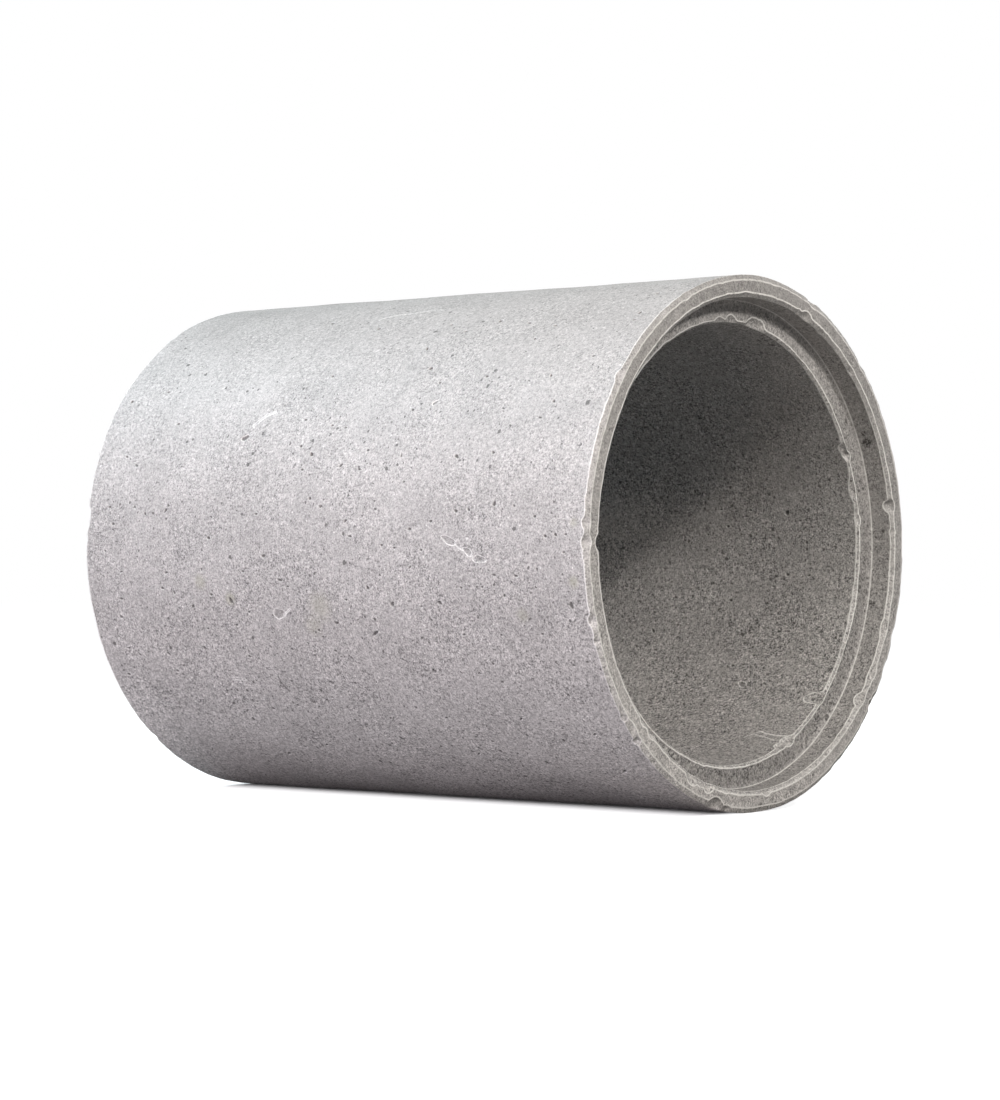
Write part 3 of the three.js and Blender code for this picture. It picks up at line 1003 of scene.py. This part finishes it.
# How its faces differ in tone, all of it painted light and shade. Heights are in metres above the axis,
# and reaches from it. A place given as a range is where the change starts and where it is whole.
faces = {
    "onBarrel": (0.345, 0.357),  # the reach of the barrel's skin, and so on
    "onRim": (0.331, 0.336),
    "inGroove": (0.337, 0.333),
    "inBore": (0.306, 0.301),
    "rimAlong": (-8, -3),  # in millimetres from the rim's face
    "grooveAlong": (-3, -0.5),  # and from the groove's shoulder
    "wallAlong": (1, 9),
    # Painted light and shade on the barrel: bands by height that darken it below its upper part and lighten
    # it low down, and painted light low at the tongue end.
    "paintedBands": [(0.11, 0.035, -0.085), (-0.085, -0.15, 0.085), (-0.165, -0.30, 0.105)],  # heights, change
    "footPlace": ((-0.33, -0.43), (-0.12, -0.28)),  # low down at the tongue end: x, height
    "footPaintedLight": 0.29,  # how much lighter the barrel is there
    # Painted light: the bore is lighter close to the groove.
    "mouthPlace": ((0.35, 0.43), (-0.26, -0.16)),  # in the bore close to the groove
    "mouthPaintedLight": 0.13,
    # Painted shade: the rim is darker at the top and lighter low down.
    "rimPaintedShade": (-0.3, 0.3, 1.13, 0.84),  # the rim's tone from one height to another
    # Painted shade in the groove: darker below its upper part, less on its wall, and most low down.
    "shoulderPaintedShade": (0.3, 0.06, 0.21),  # the groove is darker below its upper part: heights, how dark
    "wallPaintedShade": 0.45,  # how much of that its wall has
    "bottomPaintedShade": (-0.25, -0.33, 0.14),
    # Painted shadow: the upper bore is darker.
    "paintedShadowPlace": ((0.02, 0.1), (0.2, 0.05)),  # high in the bore: height, x less height
    "paintedShadow": (0.76, 0.785, 0.81),  # what the colour is multiplied by there
    "paintedShadowCoarse": 1.35,  # and how much stronger the grain is
}
# Its small holes, whose darkness is painted shade, and pale specks, besides the air holes in the mesh.
pores = {
    "holes": [(60, 0.22, 0.15), (100, 0.34, 0.17), (170, 0.32, 0.18)],  # scale, share, size
    "crowding": (8, 0.36, 0.66, 0.25, 1.9),  # scale, the noise's low and high, the holes' number there
    "heights": (0.12, 0.3, 1.0, 0.55),  # from this height to that, their number there
    # how dark the painted shade in pores and air holes is
    "dark": 0.82,
    "airHoleDark": 0.86,
    "specks": (210, 0.45, 0.17, 0.5),  # scale, share, size, strength
    "bend": (210, 0.006),  # the noise that makes them less round: scale, metres
    "blotSide": 0.55,  # the share of a blot's half width within which it is whole
    "blotDark": 1.25,
    "blotGrain": (-0.1, 0.12, 1.0, 0.2),  # a blot is weaker where the grain is light
    "stainSide": 0.2,
}
# Its light lines along worn arrises, inner corners and the edges of marks, in millimetres.
lines = {
    "half": 1.8,  # half the width of an arris's line
    "middle": 0.3,  # the share of that within which it is whole
    "aside": 0.7,  # how far it lies outside the break
    "barrel": (0.352, 0.358, 1.0, 0.6),  # its strength, from this reach to that
    "markHalf": 1.35,  # half the width of a mark's thin edge
    "markRim": 0.6,  # a mark's rim value at which its line is at full strength
    "uneven": 1.6,  # how far the grain pushes a line about
    "gaps": (95, 0.3, 0.52, 0.5, 1.0),  # a noise's scale, its low and high, and the strength there
    "bevel": (-1.5, 0.05),  # this far inside a break, the chamfer is this much lighter
    "cornerHalf": 1.5,
    "cornerMiddle": 0.2,
    "cornerStrength": 0.75,
    "cornerUneven": 1.4,
    "cornerGapHigh": 0.6,
    "crackBend": 0.003,
}
# Cracks in the bore and a scrape on the barrel, as (x, angle) in millimetres and degrees, with half
# width, strength and radius.
cracks = [
    (((447, -60.9), (438, -62.3), (416, -62.1), (398, -61.3), (387.4, -60.4)), 2.3, 1.0, 300),
    (((387.4, -60.4), (379, -61.7), (370, -63.6)), 2.0, 0.8, 300),
    (((425, -64.8), (402.6, -63.2), (388, -62.5), (379, -61.7)), 1.9, 0.75, 300),
    (((-143, 152.4), (-128, 150.3), (-112, 149.2)), 3.6, 0.85, 359.6),
]
# Yellowish patches on the barrel: (x, angle, half width, strength).
stains = [
    (-159.7, 192, 13, 0.6), (-215, 188.2, 16, 0.45), (12.2, 193.6, 30, 0.35), (-8, 198, 22, 0.3),
    (462, 188, 12, 0.55), (464, 176, 9, 0.4), (370, 195, 14, 0.4),
]
# Pits in the joint's faces and close to it, whose darkness is painted shade: (x, angle, radius,
# half width, strength).
blots = [
    (464.3, 26, 331.8, 9, 1.1), (463, 28.4, 331.8, 6, 0.9), (458, 345.4, 331.6, 6.5, 0.8),
    (461, 321.6, 331.7, 4, 0.5), (472, 309.5, 332, 3.4, 0.6), (468, 356.6, 331.9, 3.6, 0.5),
    (449, 356.5, 315.7, 4, 0.7), (449, 301.8, 324.5, 3.8, 0.7), (449, 275.8, 315.5, 5, 0.7),
    (449, 268.4, 320, 5, 0.5), (449, 263.6, 312, 4, 0.6), (449, 29.4, 311, 4.4, 0.5),
    (486, 293, 345.5, 3.4, 0.7), (486, 272, 352, 4, 0.6), (486, 283.5, 348.5, 3, 0.5),
    (486, 140.5, 353, 3, 0.5), (486, 151.5, 345, 3.2, 0.7), (486, 155.6, 347.5, 3.2, 0.7),
    (486, 95, 348, 3, 0.5), (392.1, -61.6, 300, 4, 0.8), (405.9, -62.7, 300, 2.6, 0.5),
    (416.5, 1.3, 300, 4.2, 0.7), (433, 1.6, 300, 3.8, 0.7), (401, -7.2, 300, 3.8, 0.7),
    (415, -14.2, 300, 4, 0.7), (396, -23.4, 300, 3.2, 0.5), (398, 6, 300, 3.2, 0.6),
    (405, -41, 300, 3.6, 0.5), (468, 192.1, 362.8, 3.8, 0.8),
]


def wallPoint(x, degrees, radius):
    turn = math.radians(degrees)
    return (x * metre, radius * math.cos(turn) * metre, (axisHeight + radius * math.sin(turn)) * metre)


def alongFrom(x, offsets):
    return [(x + offset) * metre for offset in offsets]


# What the concrete's layers read: the place, its height above the axis, its reach from the axis, its
# angle from the top (so that the break in it is underneath), and the mesh's own values.
def readings(nodes):
    place = nodes.new("ShaderNodeTexCoord").outputs["Object"]
    parts = nodes.new("ShaderNodeSeparateXYZ", {0: place}).outputs
    height = nodes.math("SUBTRACT", parts["Z"], axisHeight * metre)
    at = {name: nodes.attribute(name) for name in ("edge", "rim", "corner", "hollow")}
    at["place"] = place
    at["x"] = parts["X"]
    at["height"] = height
    at["reach"] = nodes.vector("LENGTH", nodes.joined(0.0, parts["Y"], height))
    at["turn"] = nodes.math("ARCTAN2", parts["Y"], height)
    return at


# A painted shadow high in the bore, up to an edge that slopes down and away from the groove.
def paintedShadowPart(nodes, at):
    heights, slopes = faces["paintedShadowPlace"]
    high = nodes.product(nodes.ease(at["reach"], *faces["inBore"]), nodes.ease(at["height"], *heights))
    slope = nodes.math("SUBTRACT", at["x"], at["height"])
    return nodes.product(high, nodes.ease(slope, *slopes))


# How strong the grain is: more inside the bore, more lower down, and more under the painted shadow in the
# bore.
def coarseness(nodes, at, paintedShadow):
    radii = (section["boreRadius"] * metre, section["barrelRadius"] * metre)
    return nodes.product(
        nodes.ease(at["reach"], *radii, grains["bore"], 1.0),
        nodes.ease(at["height"], *grains["heights"]),
        nodes.ease(paintedShadow, 0.0, 1.0, 1.0, faces["paintedShadowCoarse"]),
    )


# The tone is 1 plus noises of falling size, each about zero. The two finest come and go in patches.
def castTone(nodes, at, coarse):
    scale, *fromTo = grains["patches"]
    patchy = nodes.product(coarse, nodes.ease(nodes.noise(at["place"], scale), *fromTo))
    swings = {}
    tone = 1.0
    for name in ("grain", "fleck", "cloud", "drift"):
        scale, size, detail, roughness = grains[name]
        swing = nodes.math("SUBTRACT", nodes.noise(at["place"], scale, detail, roughness), 0.5)
        if name in ("grain", "fleck"):
            swing = nodes.product(swing, patchy)
        swings[name] = swing
        tone = nodes.math("MULTIPLY_ADD", swing, size * 2, tone)
    return tone, swings["grain"]


# What the tone is multiplied by on each face, all of it painted light and shade: bands along the barrel
# and its lighter foot, the lighter mouth of the bore, the rim's shade by height, and the groove's shade.
def paintedFaceShade(nodes, at):
    x, height, reach = at["x"], at["height"], at["reach"]
    # Painted light and shade on the barrel: its bands by height, and painted light low at the tongue end.
    xs, heights = faces["footPlace"]
    paintedBand = nodes.product(nodes.ease(x, *xs), nodes.ease(height, *heights), faces["footPaintedLight"])
    for start, whole, change in faces["paintedBands"]:
        paintedBand = nodes.math("ADD", paintedBand, nodes.ease(height, start, whole, 0, change))
    paintedBand = nodes.product(paintedBand, nodes.ease(reach, *faces["onBarrel"]))
    # Painted light in the bore close to the groove.
    xs, heights = faces["mouthPlace"]
    mouth = nodes.product(nodes.ease(x, *xs), nodes.ease(height, *heights))
    mouth = nodes.product(mouth, nodes.ease(reach, *faces["inBore"], 0, faces["mouthPaintedLight"]))
    skinPaintedShade = nodes.math("ADD", nodes.math("ADD", paintedBand, mouth), 1.0)

    # The rim's painted shade: darker at the top, lighter low down.
    onRim = nodes.ease(x, *alongFrom(rimX, faces["rimAlong"]))
    onRim = nodes.product(onRim, nodes.ease(reach, *faces["onRim"]))
    shade = nodes.math("SUBTRACT", nodes.ease(height, *faces["rimPaintedShade"]), 1.0)
    rimTone = nodes.math("MULTIPLY_ADD", onRim, shade, 1.0)

    # Painted shade in the groove, darker below its upper part and darkest low down.
    inGroove = nodes.ease(x, *alongFrom(shoulderX, faces["grooveAlong"]))
    inGroove = nodes.product(inGroove, nodes.ease(reach, *faces["inGroove"]))
    upper, lower, most = faces["shoulderPaintedShade"]
    onWall = nodes.ease(x, *alongFrom(shoulderX, faces["wallAlong"]), 1.0, faces["wallPaintedShade"])
    groovePaintedShade = nodes.product(nodes.ease(height, upper, lower), onWall, most)
    upper, lower, extra = faces["bottomPaintedShade"]
    groovePaintedShade = nodes.math("ADD", groovePaintedShade, nodes.ease(height, upper, lower, 0, extra))
    grooveTone = nodes.math("SUBTRACT", 1.0, nodes.product(inGroove, groovePaintedShade))
    return nodes.product(skinPaintedShade, rimTone, grooveTone)


# Streaks run round the pipe, because its mould's wall turned against it.
def streaks(nodes, at):
    along, around, size = grains["streak"]
    place = nodes.joined(
        nodes.product(at["x"], along),
        nodes.product(at["turn"], around * section["barrelRadius"] * metre),
        0.0,
    )
    streak = nodes.math("SUBTRACT", nodes.noise(place, 1.0), 0.5)
    return nodes.product(streak, size * 2)


# How much painted shade each place takes in pores, air holes and blots: their darkness stands in for the
# shade inside them. The pores crowd in patches, and are fewer towards the top.
def pitShade(nodes, at, holes, bent, grain):
    scale, *fromTo = pores["crowding"]
    crowd = nodes.ease(nodes.noise(at["place"], scale, detail=2), *fromTo)
    crowd = nodes.product(crowd, nodes.ease(at["height"], *pores["heights"]))
    sunk = []
    for scale, share, size in pores["holes"]:
        feeds = {"Vector": bent, "Scale": scale, "Share": nodes.product(crowd, share), "Size": size}
        sunk.append(nodes.group(holes, feeds)["Hole"])
    dark = nodes.product(nodes.largest(*sunk), pores["dark"])
    dark = nodes.largest(dark, nodes.product(at["hollow"], pores["airHoleDark"]))
    near = []
    for x, degrees, radius, half, strength in blots:
        away = nodes.vector("DISTANCE", bent, wallPoint(x, degrees, radius))
        side = half * pores["blotSide"]
        near.append(nodes.ease(away, half * metre, side * metre, 0, strength * pores["blotDark"]))
    blot = nodes.product(nodes.largest(*near), nodes.ease(grain, *pores["blotGrain"]))
    return nodes.largest(dark, blot)


# How light each place is with worn arrises, chamfers, inner corners and cracks. A line is whole along
# its middle, and weaker where a noise breaks it.
def wornLight(nodes, at, grain, bend):
    scale, low, high, weak, strong = lines["gaps"]
    broken = nodes.noise(at["place"], scale, roughness=0.7)
    rims = (lines["markRim"], 1.0)
    aside = nodes.ease(at["rim"], *rims, 0.0, lines["aside"])
    distance = nodes.math("MULTIPLY_ADD", grain, lines["uneven"], at["edge"])
    distance = nodes.math("ABSOLUTE", nodes.math("SUBTRACT", distance, aside))
    half = nodes.ease(at["rim"], *rims, lines["markHalf"], lines["half"])
    line = nodes.product(
        nodes.ease(nodes.math("DIVIDE", distance, half), 1.0, lines["middle"]),
        nodes.ease(broken, low, high, weak, strong),
        nodes.ease(at["rim"], 0.0, lines["markRim"]),
        nodes.ease(at["reach"], *lines["barrel"]),
    )
    within, pale = lines["bevel"]
    bevel = nodes.product(nodes.ease(at["edge"], 0, within, 0, pale), at["rim"])
    distance = nodes.math("MULTIPLY_ADD", grain, lines["cornerUneven"], at["corner"])
    distance = nodes.math("ABSOLUTE", distance)
    corner = nodes.product(
        nodes.ease(distance, lines["cornerHalf"], lines["cornerMiddle"], 0, lines["cornerStrength"]),
        nodes.ease(broken, low, lines["cornerGapHigh"], weak, strong),
    )
    worn = nodes.largest(line, bevel, corner)
    strokes = stroke()
    wobble = nodes.vector("ADD", at["place"], nodes.scaled(bend, lines["crackBend"]))
    for points, half, strength, radius in cracks:
        masks = []
        for start, end in zip(points[:-1], points[1:]):
            feeds = {"Place": wobble, "From": wallPoint(*start, radius), "To": wallPoint(*end, radius)}
            masks.append(nodes.group(strokes, {**feeds, "Width": half * metre})["Mask"])
        worn = nodes.largest(worn, nodes.product(nodes.largest(*masks), strength))
    return worn


def castConcrete():
    material = bpy.data.materials.new("castConcrete")
    nodes = emptied(material)
    at = readings(nodes)
    paintedShadow = paintedShadowPart(nodes, at)
    coarse = coarseness(nodes, at, paintedShadow)
    tone, grain = castTone(nodes, at, coarse)
    # The tone takes the faces' painted light and shade, and the streaks.
    tone = nodes.math("ADD", nodes.product(tone, paintedFaceShade(nodes, at)), streaks(nodes, at))
    colour = nodes.vector("MULTIPLY", concrete["colour"], nodes.joined(tone, tone, tone))
    # The painted shadow darkens the upper bore.
    colour = nodes.blend(paintedShadow, colour, nodes.vector("MULTIPLY", colour, faces["paintedShadow"]))

    scale, size = pores["bend"]
    bend = nodes.noise(at["place"], scale, detail=2, output="Color")
    bend = nodes.vector("SUBTRACT", bend, (0.5, 0.5, 0.5))
    bent = nodes.vector("ADD", at["place"], nodes.scaled(bend, size))
    for x, degrees, half, strength in stains:
        away = nodes.vector("DISTANCE", bent, wallPoint(x, degrees, section["barrelRadius"]))
        share = nodes.ease(away, half * metre, half * pores["stainSide"] * metre, 0, strength)
        colour = nodes.blend(share, colour, concrete["stain"])
    holes = strewnHoles()
    # Pores, air holes and pits take a painted shade.
    colour = nodes.blend(pitShade(nodes, at, holes, bent, grain), colour, concrete["dark"])
    scale, share, size, strength = pores["specks"]
    speck = nodes.group(holes, {"Vector": bent, "Scale": scale, "Share": share, "Size": size})["Hole"]
    speck = nodes.product(speck, nodes.product(coarse, strength))
    colour = nodes.blend(speck, colour, concrete["light"])
    colour = nodes.blend(wornLight(nodes, at, grain, bend), colour, concrete["light"])

    raised = nodes.product(grain, concrete["grainRaised"])
    feeds = {"Strength": concrete["bump"], "Distance": concrete["bumpDepth"], "Height": raised}
    bump = nodes.new("ShaderNodeBump", feeds)
    shader = nodes.new(
        "ShaderNodeBsdfPrincipled",
        {
            "Base Color": colour,
            "Roughness": concrete["roughness"],
            "Specular IOR Level": concrete["specular"],
            "Normal": bump.outputs["Normal"],
        },
    )
    nodes.new("ShaderNodeOutputMaterial", {"Surface": shader.outputs[0]})
    return material


pipe.data.materials.append(castConcrete())
print("concrete made")

# The stage: a pale floor that shows white, with the pipe's shadow and a painted contact shadow along the
# line that it rests on, and a white world behind it.
stage = {
    "floorSide": 40.0,
    "floorColour": (0.80, 0.80, 0.80, 1),  # as the camera sees it
    "bounceColour": (0.24, 0.235, 0.23, 1),  # as it lights the pipe
    # painted contact shadow: the glow that the camera sees is taken away near where the pipe rests
    "contact": (0.02, 0.86),  # how bright the floor shows where the pipe touches it, and just beyond
    "contactReach": (0.018, 0.12),
    "contactHalf": 0.44,  # how far along the pipe the shadow stays whole, and how fast it fades there
    "pastEnds": 3.0,
    "glow": (1.0, 1.8),  # from here to there it rises to white
    "ambient": (0.003, 0.006, 0.012, 1),
}
# Lamps: the direction that each shines from (azimuth from +X towards +Y, elevation), how far off it
# stands, its side, its power in watts and its colour.
lamps = {
    "key": (-95, 5, 4.2, 1.6, 138, (0.985, 0.925, 1.0)),
    "high": (-75, 32, 4.2, 1.4, 20, (1.0, 1.0, 0.88)),
    "left": (-154, 44, 4.2, 1.0, 97, (0.75, 0.94, 1.0)),
    "mouth": (-32, 34, 4.6, 0.35, 45, (1.0, 0.95, 0.88)),
    "mouthLow": (-26, 26, 4.6, 0.35, 20, (1.0, 0.95, 0.88)),
    "mouthHigh": (-26, 42, 4.6, 0.35, 17, (1.0, 0.97, 0.91)),
    "mouthSide": (-8, 30, 4.6, 0.4, 64, (1.0, 0.97, 0.91)),
    "back": (92, 12, 4.4, 2.0, 36, (1.0, 1.0, 1.0)),
}
view = {
    "rimAt": (755.54, 543.88),  # where the near rim's centre shows, in pixels
    "frame": (1000, 1100),
    "focal": 3219.04,  # the focal length in pixels
    "distance": 11.96,  # from the near rim's centre, in barrel radii
    "yaw": 40.515,
    "lift": 0.323,
}


def makeFloor():
    half = stage["floorSide"] / 2
    mesh = bpy.data.meshes.new("floor")
    corners = [(-half, -half, 0), (half, -half, 0), (half, half, 0), (-half, half, 0)]
    mesh.from_pydata(corners, [], [(0, 1, 2, 3)])
    floor = bpy.data.objects.new("floor", mesh)
    bpy.context.scene.collection.objects.link(floor)
    material = bpy.data.materials.new("paleFloor")
    nodes = emptied(material)
    seen = nodes.new("ShaderNodeLightPath").outputs["Is Camera Ray"]
    colour = nodes.blend(seen, stage["bounceColour"], stage["floorColour"])
    lit = nodes.new("ShaderNodeBsdfDiffuse", {"Color": colour})
    place = nodes.new("ShaderNodeTexCoord").outputs["Object"]
    parts = nodes.new("ShaderNodeSeparateXYZ", {0: place}).outputs

    # How far the floor is from the line that the pipe rests on. Past its ends that counts for more. Near
    # that line the camera sees no glow, which paints a contact shadow over the lamps' own shadow.
    past = nodes.math("SUBTRACT", nodes.math("ABSOLUTE", parts["X"]), stage["contactHalf"])
    past = nodes.product(nodes.largest(past, 0.0), stage["pastEnds"])
    away = nodes.vector("LENGTH", nodes.joined(past, parts["Y"], 0.0))
    glow = nodes.ease(away, *stage["contactReach"], *stage["contact"])
    glow = nodes.largest(glow, nodes.ease(away, *stage["glow"]))
    glow = nodes.new("ShaderNodeEmission", {"Strength": nodes.product(seen, glow)})
    both = nodes.new("ShaderNodeAddShader", {0: lit.outputs[0], 1: glow.outputs[0]})
    nodes.new("ShaderNodeOutputMaterial", {"Surface": both.outputs[0]})
    mesh.materials.append(material)
    return floor


def makeWorld():
    world = bpy.data.worlds.new("paleRoom")
    nodes = emptied(world)
    path = nodes.new("ShaderNodeLightPath").outputs
    shown = nodes.largest(*(path[f"Is {ray} Ray"] for ray in ("Camera", "Glossy", "Transmission")))
    colour = nodes.blend(shown, stage["ambient"], (1, 1, 1, 1))
    background = nodes.new("ShaderNodeBackground", {"Color": colour, "Strength": 1.0})
    nodes.new("ShaderNodeOutputWorld", {"Surface": background.outputs[0]})
    bpy.context.scene.world = world


def makeLamps():
    middle = Vector((0, 0, axisHeight * metre))
    for name, (azimuth, elevation, away, side, power, colour) in lamps.items():
        flat = math.cos(math.radians(elevation))
        direction = Vector((
            flat * math.cos(math.radians(azimuth)),
            flat * math.sin(math.radians(azimuth)),
            math.sin(math.radians(elevation)),
        ))
        light = bpy.data.lights.new(name, "AREA")
        light.shape = "SQUARE"
        light.size = side
        light.energy = power
        light.color = colour
        lamp = bpy.data.objects.new(name, light)
        lamp.location = middle + direction * away
        lamp.rotation_euler = direction.to_track_quat("Z", "Y").to_euler()
        bpy.context.scene.collection.objects.link(lamp)


# The camera stands where the near rim's centre falls on its place in the frame.
def makeCamera():
    width, tall = view["frame"]
    radius = axisHeight * metre
    yaw = math.radians(view["yaw"])
    lift = math.radians(view["lift"])
    right = Vector((math.cos(yaw), math.sin(yaw), 0))
    level = Vector((-math.sin(yaw), math.cos(yaw), 0))
    forward = level * math.cos(lift) + Vector((0, 0, math.sin(lift)))
    down = level * math.sin(lift) - Vector((0, 0, math.cos(lift)))
    away = view["distance"] * radius
    shiftRight = (view["rimAt"][0] - width / 2) / view["focal"] * away
    shiftDown = (view["rimAt"][1] - tall / 2) / view["focal"] * away
    rimCentre = Vector((rimX * metre, 0, radius))
    data = bpy.data.cameras.new("camera")
    data.sensor_fit = "VERTICAL"
    data.sensor_height = 36
    data.lens = view["focal"] * data.sensor_height / tall
    camera = bpy.data.objects.new("camera", data)
    camera.location = rimCentre - right * shiftRight - down * shiftDown - forward * away
    camera.rotation_euler = (math.pi / 2 + lift, 0, yaw)
    bpy.context.scene.collection.objects.link(camera)
    bpy.context.scene.camera = camera


makeFloor()
makeWorld()
makeLamps()
makeCamera()
bpy.context.scene.view_settings.view_transform = "Standard"
print("stage, lamps and camera placed")
